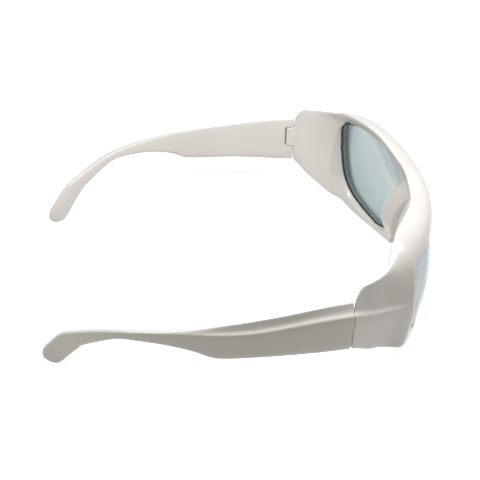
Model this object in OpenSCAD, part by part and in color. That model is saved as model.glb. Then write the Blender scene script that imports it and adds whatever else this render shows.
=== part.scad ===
// Wrap-around laser safety glasses.
// A one-piece white front carries two curved filter lenses and two folding temples.
// +X is the wearer's left, the front looks along -Y, and Z is 0 on the surface it rests on.
// The modules below measure heights from the top edge of the hinge joints and depths from the joints.

/* [Front frame] */
// Width over the side ridges at the hinge joints
front_w = 148; // [144:1:154]
// Distance from the hinge joints forward to the bridge
front_reach = 44.6; // [43:0.2:47]
// Radius of the plan curve of the front
front_r = 108; // [104:1:114]
// Half width at which the front turns into the side shields
corner_x = 60; // [59.5:0.5:61]
// Drop from the hinge's top edge to the surface that the rims and temple tips rest on
rim_drop = 38; // [37:0.5:40]
// Rise of the brow above the hinge's top edge
brow_rise = 14.6; // [13.5:0.1:16.5]
// Depth of the brow shelf, front surface to rear edge
brow_depth = 12.6; // [12:0.2:14.6]
// Depth of the rims round the lenses
rim_depth = 5.6; // [5.4:0.1:6.4]
// Wall of the side shields
shield_wall = 2.9; // [2.5:0.1:3.3]

/* [Nose] */
// Underside of the bridge, below the hinge's top edge
arch_top = 3.6; // [3:0.2:5]
// Half width of the nose arch at the bottom of the rims
arch_half_w = 17; // [16.4:0.2:18]
// How far the nose lobes stand back from the inside of the front
lobe_reach = 9.2; // [7:0.2:10]

/* [Lenses] */
// Radius of the front face of a lens
lens_r = 66; // [63:1:72]
// Thickness of a lens
lens_t = 2.2; // [1.8:0.1:2.4]
// Turn of each lens away from straight ahead
lens_tilt = 21; // [20:0.5:22]
// Half the distance between the middles of the lenses
lens_x = 38; // [37.5:0.25:38.5]
// How far a lens runs into its groove
lens_seat = 1; // [0.8:0.1:1.2]
// Gap all round a lens in its groove
lens_gap = 0.1; // [0.05:0.01:0.15]

/* [Temples] */
// Distance from the hinge joints back to the ends of the temples
temple_l = 116; // [110:1:122]
// Height of a temple at the hinge joint
temple_h = 22; // [20.5:0.5:24]
// Height of a temple where it is narrowest, in front of the ear
neck_h = 5; // [4.4:0.2:7]
// Height of a temple at its tip
tip_h = 7.9; // [6:0.2:9]
// Thickness of a temple at its ridge beside the hinge
hinge_t = 4.4; // [4.2:0.1:4.8]
// Thickness of a temple along its blade
blade_t = 3.1; // [2.7:0.1:3.5]
// Gap between a temple and the front when open
joint_gap = 0.3; // [0.25:0.05:0.5]

/* [Hinges] */
// Diameter of a hinge pin
pin_d = 1.2; // [1:0.05:1.3]
// Length of a hinge pin
pin_l = 18.5; // [16:0.5:18.5]
// Distance of the pin's axis behind the joint
pin_back = 2.4; // [2.3:0.05:2.8]
// Distance of the pin's axis from the inner face
pin_in = 1.3; // [1.2:0.05:1.4]
// Height of the tongue that the front puts into a temple
tongue_h = 9.4; // [8:0.2:10]
// Drop from the hinge's top edge to the tongue
tongue_drop = 4.7; // [4.2:0.1:5.5]
// Gap between the tongue and its slot
slot_gap = 0.2; // [0.15:0.05:0.3]
// Running clearance of the pin in the tongue, on the radius
pin_play = 0.05; // [0.03:0.01:0.08]
// Clearance of the pin where it is pressed into the temple, on the radius
pin_seat = 0.01; // [0.01:0.005:0.02]

/* [Hidden] */

white_plastic = "#F0EEEA";
filter_tint = "#9FBFC6";
steel = "#B9BCC0";

// Cut that goes past a face, and the bevel on the moulded edges.
past = 1;
edge = 0.9;

// The front face is part of a ball, upright at ball_z and swept round ball_y.
ball_z = -12.2;
ball_y = front_r - front_reach;
corner_y = ball_y - sqrt(front_r * front_r - corner_x * corner_x);
corner_a = asin(corner_x / front_r);
function ball_back(x, z) =
    ball_y - sqrt(front_r * front_r - x * x) + pow(z - ball_z, 2) / (2 * front_r);

ridge_x = front_w / 2;
inner_x = ridge_x - hinge_t;
pin_x = inner_x + pin_in;

// The whole part is centred front to back, with its lowest flats on Z = 0.
module placed() {
    nose_y = ball_back(arch_w(-ball_z - arch_top), ball_z);
    translate([0, -(nose_y + temple_l) / 2, rim_drop]) children();
}
module handed(side) {
    mirror([side < 0 ? 1 : 0, 0, 0]) children();
}

// Smooth curve through the values of a table of [position, value] rows.
function row(t, v, i = 0) = (i >= len(t) - 2 || v < t[i + 1][0]) ? i : row(t, v, i + 1);
function grade(t, i) =
    let (a = max(i - 1, 0), b = min(i + 1, len(t) - 1))
    (t[b][1] - t[a][1]) / (t[b][0] - t[a][0]);
function curve(t, v) =
    let (i = row(t, v), h = t[i + 1][0] - t[i][0], u = (v - t[i][0]) / h)
    (2 * u * u * u - 3 * u * u + 1) * t[i][1] + (u * u * u - 2 * u * u + u) * h * grade(t, i)
    + (3 * u * u - 2 * u * u * u) * t[i + 1][1] + (u * u * u - u * u) * h * grade(t, i + 1);

// Closed smooth outline through a few points, with n steps between two of them.
function around(p, n = 3) =
    let (m = len(p))
    [for (i = [0 : m - 1], k = [0 : n - 1])
        let (a = p[(i + m - 1) % m], b = p[i], c = p[(i + 1) % m], d = p[(i + 2) % m], u = k / n)
        0.5 * (2 * b + (c - a) * u + (2 * a - 5 * b + 4 * c - d) * u * u
               + (3 * b - a - 3 * c + d) * u * u * u)];
// The same outline moved outwards.
function grown(p, by) =
    let (m = len(p))
    [for (i = [0 : m - 1])
        let (t = p[(i + 1) % m] - p[(i + m - 1) % m])
        p[i] + by * [-t[1], t[0]] / norm(t)];

function mix(a, b, u) = a + (b - a) * u;
function bezier(a, b, c, d, u) =
    let (w = 1 - u)
    w * w * w * a + 3 * w * w * u * b + 3 * w * u * u * c + u * u * u * d;

// A solid between rings of equally many points, closed with flat ends.
// Each ring runs clockwise as seen from the next one.
module skin(rings) {
    n = len(rings[0]);
    m = len(rings);
    sides = [for (j = [0 : m - 2], k = [0 : n - 1])
        let (a = j * n + k, b = j * n + (k + 1) % n)
        each [[a, b, b + n], [a, b + n, a + n]]];
    ends = [[for (k = [n - 1 : -1 : 0]) k], [for (k = [0 : n - 1]) (m - 1) * n + k]];
    polyhedron(points = [for (r = rings) each r], faces = concat(sides, ends), convexity = 10);
}

// Removes what would reach below the resting surface.
module floor_trim() {
    translate([-front_w, -front_w, -rim_drop - 10]) cube([2 * front_w, 3 * front_w, 10]);
}

// Front: values along its outer edge, from 0 at the hinge joint to 1 at the bridge.
side_l = norm([ridge_x - corner_x, corner_y]);
arc_l = front_r * corner_a * PI / 180;
corner_v = side_l / (side_l + arc_l);
joint_v = 0.08;

heading_side = [[0, 0], [0.1, 17], [0.2, 32], [corner_v, 43], [0.42, 60.5]];
brow_in = [[0, hinge_t - 1], [0.03, 3.8], [0.06, 3.3], [0.12, 2.9], [0.2, 6.2], [0.26, 10.3],
           [corner_v, brow_depth], [0.5, brow_depth], [0.7, brow_depth - 1.7], [1, brow_depth - 2]];
brow_z = [[0, 0], [0.015, 2.9], [0.035, 5.1], [0.1, 7], [0.2, brow_rise - 5.4],
          [corner_v, brow_rise - 1.8], [0.55, brow_rise], [0.82, brow_rise - 2.5],
          [1, brow_rise - 1.7]];
ridge_z = [[0, -4.4], [0.2, -7.9], [corner_v, -10.7], [0.4, -3.4], [0.46, 2.5], [0.6, 5.4], [1, 5.6]];
bottom_z = [[0, -temple_h], [0.06, -temple_h - 2.5], [0.13, 9.7 - rim_drop], [0.2, 7 - rim_drop],
            [corner_v, 2.8 - rim_drop], [0.45, 0.1 - rim_drop], [0.56, -0.3 - rim_drop],
            [0.7, 0.6 - rim_drop], [0.85, 3.5 - rim_drop], [1, 4.5 - rim_drop]];
wall_in = [[0, hinge_t], [joint_v, shield_wall + 0.4], [0.16, shield_wall + 0.1],
           [0.24, rim_depth - 0.4], [corner_v, rim_depth + 0.2], [0.5, rim_depth],
           [0.7, rim_depth], [0.82, rim_depth + 0.7], [1, rim_depth + 0.7]];
under_z = [[0, -3], [0.1, 2.6], [0.2, 5.4], [corner_v, 7.2], [0.5, 8], [1, 8]];
lean = [[0, 1.8], [0.1, 2.9], [0.22, 3.5], [corner_v, 1.6], [0.42, 0], [1, 0]];
// Width and height of the hollow shelf above the ridge, which carries on along the temple.
shelf_in = [[0, 1.8], [0.06, 1.8], [0.12, 1.6], [0.18, 1.7], [0.24, 0.7], [0.29, 0.1],
            [0.34, 0], [0.5, 0], [1, 0]];
shelf_h = 1.7;

function arc_a(v) = corner_a * (1 - v) / (1 - corner_v);
function plan(v) =
    v > corner_v ? [front_r * sin(arc_a(v)), ball_y - front_r * cos(arc_a(v))]
                 : mix([ridge_x, 0], [corner_x, corner_y], v / corner_v);
function heading(v) = v < 0.42 ? curve(heading_side, v) : 90 - arc_a(v);
function outer_in(v, z) =
    let (top = curve(ridge_z, v), low = curve(bottom_z, v))
    min(v / corner_v, 1) * pow(z - ball_z, 2) / (2 * front_r)
    + curve(lean, v) * max((top - z) / (top - low), 0);
function inner_in(v, z) =
    mix(hinge_t, outer_in(v, z) + curve(wall_in, v), min(v / joint_v, 1));

// One section of the front as [depth from the outer edge, height] points.
function section(v) =
    let (top = curve(ridge_z, v), low = curve(bottom_z, v), uz = curve(under_z, v),
         a = [outer_in(v, top), top], c = a + [curve(shelf_in, v), shelf_h],
         hollow = [mix(a[0], c[0], 0.9), mix(a[1], c[1], 0.12)],
         d = [curve(brow_in, v), curve(brow_z, v)],
         b = [mix(c[0], d[0], 0.06), max(d[1] - 0.576 * (d[0] - c[0]), mix(c[1], d[1], 0.6))],
         b2 = [mix(c[0], d[0], 0.4), mix(b[1], d[1], 0.8)],
         e = [d[0] + 0.7, d[1] - 0.7], g = [inner_in(v, uz), uz],
         f = [mix(e[0], g[0], 0.5), g[1] + 0.3 * (e[1] - g[1])])
    concat(
        [[outer_in(v, low) + edge, low]],
        [for (i = [0 : 7]) let (z = mix(low + edge, top, i / 7)) [outer_in(v, z), z]],
        [for (i = [1 : 3]) bezier(a, hollow, hollow, c, i / 3)],
        [for (i = [1 : 6]) bezier(c, b, b2, d, i / 6)],
        [e],
        [for (i = [1 : 5]) bezier(e, f, f, g, i / 5)],
        [for (i = [1 : 5]) let (z = mix(uz, low + edge, i / 5)) [inner_in(v, z), z]],
        [[inner_in(v, low) - edge, low]]);

function front_ring(v, side) =
    let (p = plan(v), h = heading(v))
    [for (q = section(v)) [side * (p[0] - q[0] * cos(h)), p[1] + q[0] * sin(h), q[1]]];

stations = [0, 0.012, 0.03, 0.05, 0.075, 0.1, 0.13, 0.16, 0.19, 0.22, 0.25, 0.275, 0.3, corner_v,
            0.34, 0.36, 0.385, 0.41, 0.44, 0.48, 0.52, 0.57, 0.62, 0.67, 0.72, 0.77, 0.82, 0.87,
            0.92, 0.96];

module front_shell() {
    skin([for (v = stations) front_ring(v, -1),
          front_ring(1, -1),
          for (i = [len(stations) - 1 : -1 : 0]) front_ring(stations[i], 1)]);
}

// Lenses: outlines in the lens's own plane, x away from the nose, z up.
lens_y = ball_back(lens_x, ball_z);
lens_z = -15;
inner_window = [[25.6, -6.5], [25.4, -14.5], [22.8, 14.6 - rim_drop], [17.2, 8.3 - rim_drop],
                [9.9, 4.9 - rim_drop], [2, 3.2 - rim_drop], [-6, 3.1 - rim_drop],
                [-13, 6.2 - rim_drop], [-18, 14.5 - rim_drop], [-21.3, -12.6], [-22, -1.6],
                [-18, brow_rise - 10.6], [-6, brow_rise - 9.1], [8, brow_rise - 9.1],
                [17.6, brow_rise - 10.6], [23.4, brow_rise - 14.2]];
// The window ahead of a lens is smaller all round by the lip that holds the lens in.
lens_lip = 1;
outer_window = grown(inner_window, -lens_lip);

module lens_frame(side) {
    handed(side) translate([lens_x, lens_y, 0]) rotate([0, 0, lens_tilt]) children();
}
// A ball about the middle that the faces of a lens share.
module lens_ball(depth) {
    translate([0, lens_r, lens_z]) sphere(r = lens_r - depth, $fn = 180);
}
// A prism on an outline, from ahead of the lens to behind it.
module prism(outline) {
    ahead = 8;
    behind = 20;
    translate([0, behind, 0]) rotate([90, 0, 0]) linear_extrude(height = ahead + behind) polygon(outline);
}
module lens_body(play) {
    difference() {
        intersection() {
            lens_ball(-play);
            prism(grown(around(inner_window), lens_seat + play));
        }
        lens_ball(lens_t + play);
    }
}
module lens(side) {
    color(filter_tint, 0.6) placed() lens_frame(side) lens_body(0);
}

// The opening for a lens: the wider window behind it, the narrower one ahead, and the groove.
module lens_opening() {
    intersection() {
        prism(around(inner_window));
        lens_ball(lens_t / 2);
    }
    difference() {
        prism(around(outer_window));
        lens_ball(lens_t / 2);
    }
    lens_body(lens_gap);
}

// Half width of the nose arch at a depth below its top.
arch = [[0, 0], [0.3, 1.4], [1, 2.4], [4.5, 4.2], [10.5, 6.6], [17.5, 9.2], [24.5, 12], [32, 15],
        [rim_drop + 2 - arch_top, arch_half_w]];
function arch_w(g) = curve(arch, g);

module nose_cut() {
    steps = concat([0.1, 0.3, 1, 2.5], [for (g = [4.3 : 3 : 31.3]) g], [rim_drop + 2 - arch_top]);
    half = [for (g = steps) [arch_w(g), -arch_top - g]];
    other = [for (i = [len(half) - 1 : -1 : 0]) [-half[i][0], half[i][1]]];
    rotate([90, 0, 0]) translate([0, 0, 20]) linear_extrude(height = 40) polygon(concat(half, other));
}

// Nose lobes: [depth below the arch top, reach of the ridge, reach of the lobe, width],
// with the reaches as shares of lobe_reach.
lobe = [[29.7, 0.14, 0.18, 4.75], [27.6, 0.31, 0.42, 4.85], [25.5, 0.37, 0.57, 4.9],
        [20.9, 0.48, 0.8, 4.85], [15.8, 0.55, 0.97, 5], [9.8, 0.51, 1, 5.65],
        [3.9, 0.32, 0.88, 6.3], [-1.1, 0.15, 0.65, 6.2], [-6, 0.02, 0.37, 4.6]];
lobe_root = 2.6;
// The lobes run past the wall of the arch, which cuts them off flush.
lobe_over = 0.6;

function lobe_ring(q) =
    let (z = -arch_top - q[0], wa = arch_w(max(q[0], 1)), back_y = rim_depth - front_reach,
         r = [wa - lobe_over, back_y + lobe_reach * q[1]],
         l = [wa + q[3], back_y + lobe_reach * q[2]],
         rim_x = l[0] + lobe_root, rim_y = ball_back(rim_x, z) + rim_depth,
         back = l + [0.9, -1.2], root = [rim_x, rim_y - 0.6])
    [for (p = [[r[0], ball_back(wa, z) + rim_depth / 2], r, r + [lobe_over + 0.25, 0.35],
               mix(r, l, 0.5) + [0.1, -0.25], l - [0.7, 0.1], l + [0.25, -0.2], back,
               mix(back, root, 0.5), root, [rim_x, rim_y - rim_depth / 2]])
        [p[0], p[1], z]];

module nose_lobe() {
    skin([for (q = lobe) lobe_ring(q)]);
}

// Hinge tongue in plan, square behind the pin with eased corners, rounder on the outside.
tongue_ease = 0.4;
tongue_root = 0.6;
tongue_w = 2 * pin_in;
tongue_end = pin_back + pin_in;

module tongue() {
    translate([0, 0, -tongue_drop - tongue_h])
    linear_extrude(height = tongue_h) {
        translate([inner_x, -tongue_root]) square([tongue_w, tongue_root + pin_back]);
        translate([inner_x, pin_back]) square([pin_in, pin_in - tongue_ease]);
        translate([inner_x + tongue_ease, pin_back]) square([pin_in - tongue_ease, pin_in]);
        translate([inner_x + tongue_ease, tongue_end - tongue_ease]) circle(r = tongue_ease, $fn = 24);
        translate([pin_x, pin_back]) circle(r = pin_in, $fn = 48);
    }
}

module pin_hole(r, low, high) {
    translate([pin_x, pin_back, low]) cylinder(r = r, h = high - low, $fn = 48);
}

module frame_front() {
    color(white_plastic) placed()
    difference() {
        union() {
            difference() {
                front_shell();
                for (side = [-1, 1]) lens_frame(side) lens_opening();
            }
            for (side = [-1, 1]) handed(side) {
                nose_lobe();
                tongue();
            }
        }
        nose_cut();
        for (side = [-1, 1]) handed(side)
            pin_hole(pin_d / 2 + pin_play, -tongue_drop - tongue_h - past, -tongue_drop + past);
        floor_trim();
    }
}

// Temple: top and lower edges as [y top, z top, y low, z low] rows from the hinge to the tip.
ear = temple_l - 1.2;
blade = [[joint_gap, 0, joint_gap, -temple_h],
         [12, -0.9, 13, 0.2 - temple_h],
         [25, -2.5, 26, 0.7 - temple_h],
         [38, -4.3, 39, 1.1 - temple_h],
         [50.3, -5.8, 51, 2.1 - temple_h],
         [57.4, -6.8, 58.9, -6.8 - mix(neck_h, temple_h, 0.32)],
         [68.5, -8.4, 69.8, -8.4 - mix(neck_h, temple_h, 0.1)],
         [ear - 35, -10, ear - 34.3, -10 - neck_h],
         [ear - 24, -13.2, ear - 24 - 0.76 * neck_h, -13.2 - 0.65 * neck_h],
         [ear - 10.7, 18.2 - rim_drop, ear - 10.7 - 0.67 * tip_h, 18.2 - 0.49 * tip_h - rim_drop],
         [ear - 7.5, 15.7 - rim_drop, ear - 7.5 - 0.73 * tip_h, 15.7 - 0.57 * tip_h - rim_drop],
         [ear - 4.1, 11.6 - rim_drop, ear - 4.1 - 0.75 * tip_h, 11.6 - 0.59 * tip_h - rim_drop],
         [ear - 0.7, 7.2 - rim_drop, ear - 0.7 - 0.86 * tip_h, 7.2 - 0.52 * tip_h - rim_drop]];
function blade_table(k) = [for (i = [0 : len(blade) - 1]) [i, blade[i][k]]];
top_y = blade_table(0);
top_z = blade_table(1);
low_y = blade_table(2);
low_z = blade_table(3);

// How far the inner face lies outside the hinge's inner face, by its distance from the joint.
bow = [[0, 0], [12, 1.4], [25, 2.6], [38, 3], [50, 2.8], [58, 2.2], [69, -0.1], [ear - 35, -3.3],
       [ear - 29, -5.9], [ear - 23, -9.2], [ear - 17, -12.9], [ear - 11, -16.7], [ear - 5, -20.6],
       [ear + 2, -23.6]];
function bow_slope(y) = curve(bow, y + 0.5) - curve(bow, y - 0.5);

// Section values by row number: ridge, its drop, strip above it, crest of the top edge, lower edge.
ridge_t = [[0, hinge_t], [1, blade_t + 0.5], [2, blade_t], [6, blade_t - 0.2], [12, blade_t - 0.3]];
ridge_drop = [[0, 4.4], [1, 4.6], [3, 4.5], [4, 3], [5, 1.7], [6, 1], [12, 1]];
strip_t = [[0, 2.5], [1, 1.8], [3, 1.5], [4, 1.8], [5, 2.3], [6, 2.8], [12, 2.7]];
crest_t = [[0, 1], [3, 1], [6, 1.3], [12, 1.4]];
low_t = [[0, hinge_t - 1.8], [2, 2.6], [12, 2.5]];
tip_reach = 5.8;

// One ring of a temple, at row t. Past the last row, round turns it towards the end of the tip.
function temple_ring(t, round = 0) =
    let (top = [curve(top_y, t), curve(top_z, t)], low = [curve(low_y, t), curve(low_z, t)],
         across = (top - low) / 2, middle = (top + low) / 2, h = norm(top - low),
         onward = [across[1], -across[0]] / norm(across) * tip_reach * sin(round),
         r = curve(ridge_t, t), drop = curve(ridge_drop, t), b = curve(low_t, t),
         a = [r, drop], strip = curve(strip_t, t), d = [curve(crest_t, t), 0],
         hollow = [strip, 0.95 * drop], shoulder = [strip + 0.25, 0.35 * drop],
         inside = min(3, 0.35 * h), thin = mix(0.4, 1, cos(round)), mid_t = blade_t / 2)
    [for (q = concat(
            [[b - edge, h]],
            [for (i = [0 : 4]) let (z = mix(h - edge, drop, i / 4))
                [mix(r, b, (z - drop) / (h - drop)), z]],
            [for (i = [1 : 7]) bezier(a, hollow, shoulder, d, i / 7)],
            [[0.3, 0.7]],
            [for (i = [0 : 3]) [0, mix(inside, h - edge, i / 3)]],
            [[edge, h]]))
        let (p = middle + onward + across * cos(round) * (1 - 2 * q[1] / h),
             n = [1, -min(t, 1) * bow_slope(p[0])], off = mix(mid_t, q[0], thin) * n / norm(n))
        [inner_x + curve(bow, p[0]) + off[0], p[0] + off[1], p[1]]];

temple_rows = len(blade) - 1;

module temple_blade() {
    skin([for (i = [0 : 3 * temple_rows]) temple_ring(i / 3),
          for (turn = [22, 42, 58, 71, 81]) temple_ring(temple_rows, turn)]);
}

// Slot for the front's tongue, open to the front and to the inside, so that the temple folds in.
module hinge_slot() {
    reach = (pin_in - tongue_ease) * sqrt(2) + tongue_ease + slot_gap;
    open_x = inner_x - 2;
    translate([0, 0, -tongue_drop - tongue_h - slot_gap])
    linear_extrude(height = tongue_h + 2 * slot_gap) {
        translate([open_x, -past]) square([pin_x - open_x, past + tongue_end + slot_gap]);
        translate([open_x, -past]) square([pin_x + pin_in + slot_gap - open_x, past + pin_back]);
        intersection() {
            translate([pin_x, pin_back]) circle(r = reach, $fn = 48);
            translate([open_x, 0]) square([pin_x + pin_in + slot_gap - open_x, pin_back + 2 * reach]);
        }
    }
}
// Rounding of the inner front corner about the pin, so that it clears the front when folding.
module corner_relief() {
    difference() {
        translate([inner_x - 2, -past, -temple_h - past])
            cube([2 + pin_in, past + pin_back, temple_h + 2 * past]);
        pin_hole(pin_back - joint_gap, -temple_h - 2 * past, 2 * past);
    }
}

pin_top = -2.8;
pin_low = pin_top - pin_l;

// Small round marks that the mould leaves on the inner face, at these rows of the blade.
mould_marks = [8, 10.3];
mark_r = 0.6;
mark_deep = 0.2;

module mould_mark(t) {
    y = (curve(top_y, t) + curve(low_y, t)) / 2;
    z = (curve(top_z, t) + curve(low_z, t)) / 2;
    translate([inner_x + curve(bow, y), y, z])
    rotate([0, 0, atan(-bow_slope(y))])
    rotate([0, 90, 0]) translate([0, 0, -past]) cylinder(r = mark_r, h = past + mark_deep, $fn = 24);
}

module temple(side) {
    color(white_plastic) placed() handed(side)
    difference() {
        temple_blade();
        hinge_slot();
        corner_relief();
        pin_hole(pin_d / 2 + pin_seat, -temple_h - past, pin_top);
        for (t = mould_marks) mould_mark(t);
        floor_trim();
    }
}
module temple_left() {
    temple(1);
}
module temple_right() {
    temple(-1);
}

module hinge_pin(side) {
    tip = 0.15;
    r = pin_d / 2;
    color(steel) placed() handed(side) translate([pin_x, pin_back, pin_low])
    rotate_extrude($fn = 48)
        polygon([[0, 0], [r - tip, 0], [r, tip], [r, pin_l - tip], [r - tip, pin_l], [0, pin_l]]);
}

frame_front();
lens(1);  // lens_left
lens(-1);  // lens_right
temple_left();
temple_right();
hinge_pin(1);  // hinge_pin_left
hinge_pin(-1);  // hinge_pin_right
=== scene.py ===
# %% [markdown]
# # Laser safety glasses
# A wrap-around eye guard lies on a table: one white moulded front with a brow shelf and side
# shields, two curved filter lenses in grooves, and two folding temples on steel pins.
# The measured solids come first, as a fixed frame in metres. Everything that this lesson makes
# is placed in that same frame, so no piece is ever fitted by eye.

# %% Load the measured model
import bpy
import bmesh
import math
from mathutils import Matrix, Vector


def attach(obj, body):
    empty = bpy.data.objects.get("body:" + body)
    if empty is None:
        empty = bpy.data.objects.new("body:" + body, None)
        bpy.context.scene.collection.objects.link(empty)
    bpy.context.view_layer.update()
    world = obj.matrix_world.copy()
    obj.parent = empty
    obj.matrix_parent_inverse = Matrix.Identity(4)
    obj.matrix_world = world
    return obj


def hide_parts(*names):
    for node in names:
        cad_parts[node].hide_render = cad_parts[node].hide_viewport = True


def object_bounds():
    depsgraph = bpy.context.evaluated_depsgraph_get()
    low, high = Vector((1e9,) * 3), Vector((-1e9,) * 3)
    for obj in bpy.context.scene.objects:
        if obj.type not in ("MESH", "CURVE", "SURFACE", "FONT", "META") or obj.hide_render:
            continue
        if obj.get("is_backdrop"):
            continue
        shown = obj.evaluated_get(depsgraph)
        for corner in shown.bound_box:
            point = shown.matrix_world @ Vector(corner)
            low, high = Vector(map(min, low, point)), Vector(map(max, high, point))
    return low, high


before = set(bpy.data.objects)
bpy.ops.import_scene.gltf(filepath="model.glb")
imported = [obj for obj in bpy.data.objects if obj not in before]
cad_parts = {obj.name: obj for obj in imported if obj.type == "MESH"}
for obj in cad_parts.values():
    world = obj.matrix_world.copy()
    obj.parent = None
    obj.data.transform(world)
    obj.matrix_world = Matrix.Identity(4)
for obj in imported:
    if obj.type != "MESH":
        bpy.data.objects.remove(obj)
cad_low, cad_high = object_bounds()

# %% [markdown]
# ## Camera
# A product photo is taken from about half a metre with a longish lens, so that the near temple
# isn't blown up against the far one. The camera's axes are given as three unit vectors, right,
# up and ahead, because that is what matching the corners of the glasses to the photo gives.

# %% Camera
CAMERA_PLACE = Vector((-0.3809047, 0.0479636, 0.2812140))
RIGHT = Vector((-0.11417026, -0.99316440, 0.02427270))
UP = Vector((0.56287332, -0.04453440, 0.82534230))
AHEAD = Vector((0.81862004, -0.10789190, -0.56411030))
FOCAL_MM, SENSOR_MM = 82.49, 36.0

camera_data = bpy.data.cameras.new("photo_camera")
camera_data.lens = FOCAL_MM
camera_data.sensor_width = SENSOR_MM
camera_data.clip_start = 0.01
camera_data.clip_end = 50.0
camera = bpy.data.objects.new("photo_camera", camera_data)
camera.matrix_world = Matrix((
    (RIGHT.x, UP.x, -AHEAD.x, CAMERA_PLACE.x),
    (RIGHT.y, UP.y, -AHEAD.y, CAMERA_PLACE.y),
    (RIGHT.z, UP.z, -AHEAD.z, CAMERA_PLACE.z),
    (0, 0, 0, 1)))
bpy.context.scene.collection.objects.link(camera)
bpy.context.scene.camera = camera
print("camera lens", camera_data.lens, "mm")

# %% [markdown]
# ## Small helpers
# Colours are written as the sRGB hex values that a paint chart or a picture gives, and turned
# into the linear values that a shader needs. One function adds a shader node with its settings
# and its links, whatever kind it is, so that each material below reads as a list of its layers.

# %% Helpers for colours and nodes
MM = 0.001


def srgb(code):
    parts = [int(code[i:i + 2], 16) / 255 for i in (1, 3, 5)]
    return [c / 12.92 if c <= 0.04045 else ((c + 0.055) / 1.055) ** 2.4 for c in parts] + [1.0]


def add_node(tree, kind, settings=None, inputs=None, links=None):
    node = tree.nodes.new(kind)
    for name, value in (settings or {}).items():
        setattr(node, name, value)
    for name, value in (inputs or {}).items():
        node.inputs[name].default_value = value
    for name, source in (links or {}).items():
        tree.links.new(source, node.inputs[name])
    return node


def new_material(name):
    material = bpy.data.materials.new(name)
    material.use_nodes = True
    tree = material.node_tree
    tree.nodes.clear()
    return material, tree


def set_ramp(node, stops):
    ramp = node.color_ramp
    while len(ramp.elements) > 1:
        ramp.elements.remove(ramp.elements[-1])
    ramp.elements[0].position, ramp.elements[0].color = stops[0][0], stops[0][1]
    for place, colour in stops[1:]:
        ramp.elements.new(place).color = colour


print("white plastic #F1EEEA is", [round(c, 3) for c in srgb("#F1EEEA")[:3]])

# %% [markdown]
# ## White moulded plastic
# The front and the temples are injection-moulded nylon, glossy and warm white. A polished mould
# gives a clear reflection, but never a perfect one: the skin of the plastic is faintly wavy as
# it cools, the gloss changes a little where fingers touch it, and thick parts look creamier than
# thin ones. So the colour drifts slowly over 30 mm, the roughness over 12 mm, and a very low
# bump of 5 mm waves with a 0.5 mm grain bends the highlights.

# %% White moulded plastic
def white_plastic(name, base, shade):
    material, tree = new_material(name)
    coords = add_node(tree, "ShaderNodeTexCoord")
    place = coords.outputs["Object"]
    drift = add_node(tree, "ShaderNodeTexNoise", {}, {"Scale": 1 / (30 * MM), "Detail": 2.0},
                     {"Vector": place})
    tint = add_node(tree, "ShaderNodeValToRGB", {}, {}, {"Fac": drift.outputs["Fac"]})
    set_ramp(tint, [(0.35, srgb(base)), (0.7, srgb(shade))])
    touch = add_node(tree, "ShaderNodeTexNoise", {}, {"Scale": 1 / (12 * MM), "Detail": 4.0},
                     {"Vector": place})
    gloss = add_node(tree, "ShaderNodeMapRange", {},
                     {"From Min": 0.3, "From Max": 0.75, "To Min": 0.13, "To Max": 0.22},
                     {"Value": touch.outputs["Fac"]})
    wave = add_node(tree, "ShaderNodeTexNoise", {}, {"Scale": 1 / (5 * MM), "Detail": 1.0},
                    {"Vector": place})
    grain = add_node(tree, "ShaderNodeTexNoise", {}, {"Scale": 1 / (0.5 * MM), "Detail": 2.0},
                     {"Vector": place})
    low_bump = add_node(tree, "ShaderNodeBump", {}, {"Strength": 0.25, "Distance": 0.05 * MM},
                        {"Height": wave.outputs["Fac"]})
    fine_bump = add_node(tree, "ShaderNodeBump", {}, {"Strength": 0.12, "Distance": 0.02 * MM},
                         {"Height": grain.outputs["Fac"], "Normal": low_bump.outputs["Normal"]})
    shader = add_node(tree, "ShaderNodeBsdfPrincipled", {},
                      {"IOR": 1.52, "Coat Weight": 0.15, "Coat Roughness": 0.08},
                      {"Base Color": tint.outputs["Color"], "Roughness": gloss.outputs["Result"],
                       "Normal": fine_bump.outputs["Normal"]})
    add_node(tree, "ShaderNodeOutputMaterial", {}, {}, {"Surface": shader.outputs["BSDF"]})
    return material


white_front = white_plastic("moulded_white_nylon_front", "#F1EEEA", "#EEEAE5")
white_temple = white_plastic("moulded_white_nylon_temple", "#F1EDE8", "#EDE8E1")
print("made", white_front.name, "and", white_temple.name)

# %% [markdown]
# ## Filter lens
# The lenses are dyed polycarbonate, polished on both faces. The dye takes out part of the light,
# so a white table seen through it turns a cool grey-green. Most of the shader is a dyed glass
# that bends the light. A smaller see-through share lets the plain background in, and keeps the
# shadow of the lens light.

# %% Filter lens
def filter_lens():
    material, tree = new_material("dyed_polycarbonate_filter")
    coords = add_node(tree, "ShaderNodeTexCoord")
    cloud = add_node(tree, "ShaderNodeTexNoise", {}, {"Scale": 1 / (14 * MM), "Detail": 2.0},
                     {"Vector": coords.outputs["Object"]})
    tint = add_node(tree, "ShaderNodeValToRGB", {}, {}, {"Fac": cloud.outputs["Fac"]})
    set_ramp(tint, [(0.35, srgb("#5C7E80")), (0.65, srgb("#607D83"))])
    smear = add_node(tree, "ShaderNodeTexNoise", {}, {"Scale": 1 / (6 * MM), "Detail": 3.0},
                     {"Vector": coords.outputs["Object"]})
    gloss = add_node(tree, "ShaderNodeMapRange", {},
                     {"From Min": 0.35, "From Max": 0.75, "To Min": 0.05, "To Max": 0.12},
                     {"Value": smear.outputs["Fac"]})
    shader = add_node(tree, "ShaderNodeBsdfPrincipled", {},
                      {"IOR": 1.585, "Alpha": 0.7, "Transmission Weight": 1.0},
                      {"Base Color": tint.outputs["Color"], "Roughness": gloss.outputs["Result"]})
    add_node(tree, "ShaderNodeOutputMaterial", {}, {}, {"Surface": shader.outputs["BSDF"]})
    return material


lens_material = filter_lens()
print("made", lens_material.name)

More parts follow.
